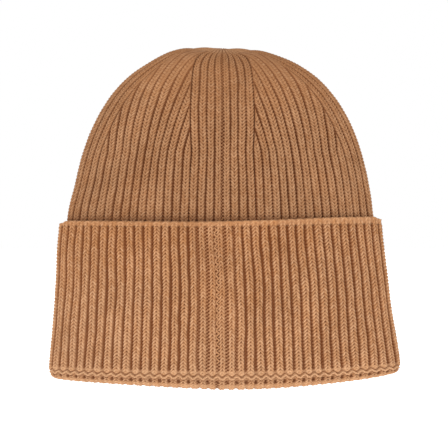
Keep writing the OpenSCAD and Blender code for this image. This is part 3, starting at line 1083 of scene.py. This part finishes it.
def wool(name, base, pale, painted_shade_colour):
    """Knitted wool: base colour paled by stitch tone and painted highlights, painted reddish shade in the
    gaps, mottled dye and fine fibre bumps.
    """
    material = bpy.data.materials.new(name)
    material.use_nodes = True
    tree = material.node_tree
    links = tree.links
    shader = tree.nodes["Principled BSDF"]
    shader.inputs["Roughness"].default_value = 0.92
    shader.inputs["Specular IOR Level"].default_value = 0.04
    shader.inputs["Sheen Weight"].default_value = 0.07
    shader.inputs["Sheen Roughness"].default_value = 0.45
    shader.inputs["Sheen Tint"].default_value = (1.0, 0.86, 0.70, 1)

    where = add_node(tree, "ShaderNodeTexCoord")
    fibre = add_node(tree, "ShaderNodeTexNoise", Scale=1500.0, Detail=3.0, Roughness=0.6)
    dye = add_node(tree, "ShaderNodeTexNoise", Scale=34.0, Detail=3.0, Roughness=0.55)
    links.new(where.outputs["Object"], fibre.inputs["Vector"])
    links.new(where.outputs["Object"], dye.inputs["Vector"])

    colour = None
    for attribute, start, end in (("tone_and_painted_light", base, pale), ("cavity_shade", None, painted_shade_colour)):
        amount = add_node(tree, "ShaderNodeAttribute")
        amount.attribute_name = attribute
        mix = add_node(tree, "ShaderNodeMix")
        mix.data_type = "RGBA"
        mix.inputs["B"].default_value = (*end, 1)
        if colour is None:
            mix.inputs["A"].default_value = (*start, 1)
        else:
            links.new(colour, mix.inputs["A"])
        links.new(amount.outputs["Fac"], mix.inputs["Factor"])
        colour = mix.outputs["Result"]

    for source, spread in ((dye, DYE_SPREAD), (fibre, FIBRE_SPREAD)):
        spot = add_node(tree, "ShaderNodeMapRange")
        spot.inputs["From Min"].default_value = 0.25
        spot.inputs["From Max"].default_value = 0.75
        spot.inputs["To Min"].default_value = 1 - spread
        spot.inputs["To Max"].default_value = 1 + spread
        links.new(source.outputs["Fac"], spot.inputs["Value"])
        flecked = add_node(tree, "ShaderNodeVectorMath")
        flecked.operation = "SCALE"
        links.new(colour, flecked.inputs[0])
        links.new(spot.outputs["Result"], flecked.inputs["Scale"])
        colour = flecked.outputs["Vector"]
    links.new(colour, shader.inputs["Base Color"])

    fuzz = add_node(tree, "ShaderNodeBump", Strength=0.35, Distance=0.0004)
    links.new(fibre.outputs["Fac"], fuzz.inputs["Height"])
    links.new(fuzz.outputs["Normal"], shader.inputs["Normal"])
    return material


def dress(pieces, material):
    for piece in pieces:
        piece.data.materials.append(material)


# ---- stage, light and camera

VIEW_MM = 269.9  # how much of the object's plane the frame takes in
VIEW_CENTRE = (1.0, 98.6)  # x and z of the middle of the frame
LENS = 400.0
SENSOR = 36.0
NEAREST, FARTHEST = 0.05, 30
LIT_POINT = (0, 0, 0.1)
FLOOR_HALF = 6.0
CAMERA_RISE = math.radians(0.5)


def glowing_white():
    material = bpy.data.materials.new("white_floor")
    material.use_nodes = True
    shader = material.node_tree.nodes["Principled BSDF"]
    shader.inputs["Base Color"].default_value = (0.35, 0.35, 0.35, 1)
    shader.inputs["Roughness"].default_value = 0.9
    shader.inputs["Emission Color"].default_value = (1, 1, 1, 1)
    shader.inputs["Emission Strength"].default_value = 1.3
    return material


def look_at(thing, target):
    direction = Vector(target) - thing.location
    thing.rotation_mode = "QUATERNION"
    thing.rotation_quaternion = direction.to_track_quat("-Z", "Y")


def add_floor():
    mesh = bpy.data.meshes.new("floor")
    corners = [(x * FLOOR_HALF, y * FLOOR_HALF, 0) for x, y in ((-1, -1), (1, -1), (1, 1), (-1, 1))]
    mesh.from_pydata(corners, [], [(0, 1, 2, 3)])
    floor = bpy.data.objects.new("floor", mesh)
    bpy.context.scene.collection.objects.link(floor)
    mesh.materials.append(glowing_white())


def add_light(name, place_m, size, power):
    data = bpy.data.lights.new(name, "AREA")
    data.shape = "DISK"
    data.size = size
    data.energy = power
    light = bpy.data.objects.new(name, data)
    bpy.context.scene.collection.objects.link(light)
    light.location = place_m
    look_at(light, LIT_POINT)


def add_world():
    world = bpy.data.worlds.new("studio")
    bpy.context.scene.world = world
    world.use_nodes = True
    sky = world.node_tree.nodes["Background"]
    sky.inputs["Color"].default_value = (1, 1, 1, 1)
    sky.inputs["Strength"].default_value = 1.0


def add_camera():
    data = bpy.data.cameras.new("camera")
    camera = bpy.data.objects.new("camera", data)
    bpy.context.scene.collection.objects.link(camera)
    data.lens = LENS
    data.sensor_width = SENSOR
    distance = VIEW_MM * MM * LENS / SENSOR
    target = Vector((VIEW_CENTRE[0] * MM, 0, VIEW_CENTRE[1] * MM))
    camera.location = target + distance * Vector((0, -math.cos(CAMERA_RISE), math.sin(CAMERA_RISE)))
    look_at(camera, target)
    data.clip_start, data.clip_end = NEAREST, FARTHEST
    bpy.context.scene.camera = camera


# ---- the hat

def build_cuff():
    plan = (
        ("cuff_front_left", 0.0),
        ("cuff_front_right", PANEL_RISE_RIGHT),
        ("cuff_back_right", PANEL_RISE_RIGHT),
        ("cuff_back_left", 0.0),
    )
    borders = [-0.5 + QUARTER * k for k in range(5)]
    panels = [cuff_panel(name, borders[k], borders[k + 1]) for k, (name, rise) in enumerate(plan)]
    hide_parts("cuff_shell")
    edge = start_edge()
    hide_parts("cuff_start_edge")
    roll = fold()
    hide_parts("cuff_fold")
    chain = turning_chain()
    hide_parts("turning_chain")
    return [*panels, edge, roll, chain]


def build_crown():
    mid, side = HALF_MID_STRIP, HALF_SIDE_STRIP
    plan = (
        ("strip_left", -side, side),
        ("gore_front_left", side, MID_FRONT - mid),
        ("strip_front", MID_FRONT - mid, MID_FRONT + mid),
        ("gore_front_right", MID_FRONT + mid, RIGHT_CREASE - side),
        ("strip_right", RIGHT_CREASE - side, RIGHT_CREASE + side),
        ("gore_back_right", RIGHT_CREASE + side, MID_BACK - mid),
        ("strip_back", MID_BACK - mid, MID_BACK + mid),
        ("gore_back_left", MID_BACK + mid, RIBS - side),
    )
    panels = [crown_panel(f"crown_{solid}", solid, first, last) for solid, first, last in plan]
    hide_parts("body_tube")
    front = inner_band("inner_band_front", 0, RIGHT_CREASE)
    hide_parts("inner_band")
    back = inner_band("inner_band_back", RIGHT_CREASE, RIBS)
    return [*panels, front, back, crown_tip()]


# Base colour, pale colour (random stitch tone and painted light) and painted shade colour of each wool
CUFF_COLOURS = (0.365, 0.172, 0.073), (0.490, 0.278, 0.150), (0.112, 0.024, 0.003)
BODY_COLOURS = (0.285, 0.134, 0.059), (0.372, 0.204, 0.106), (0.090, 0.018, 0.002)
LINKING_COLOURS = (0.350, 0.162, 0.070), (0.520, 0.280, 0.140), (0.110, 0.028, 0.005)


def main():
    cuff_wool = wool("camel_cuff_wool", *CUFF_COLOURS)
    body_wool = wool("camel_body_wool", *BODY_COLOURS)
    seam_wool = wool("camel_linking_wool", *LINKING_COLOURS)
    dress(build_cuff(), cuff_wool)
    dress(build_crown(), body_wool)
    dress([cuff_seam(), *seams(), *gathering()], seam_wool)
    add_floor()
    add_world()
    add_light("key", (-0.9, -1.9, 0.6), 1.4, 20)
    add_light("fill", (1.4, -1.6, 0.3), 1.6, 13)
    add_camera()
    bpy.context.scene.view_settings.view_transform = "Standard"


main()
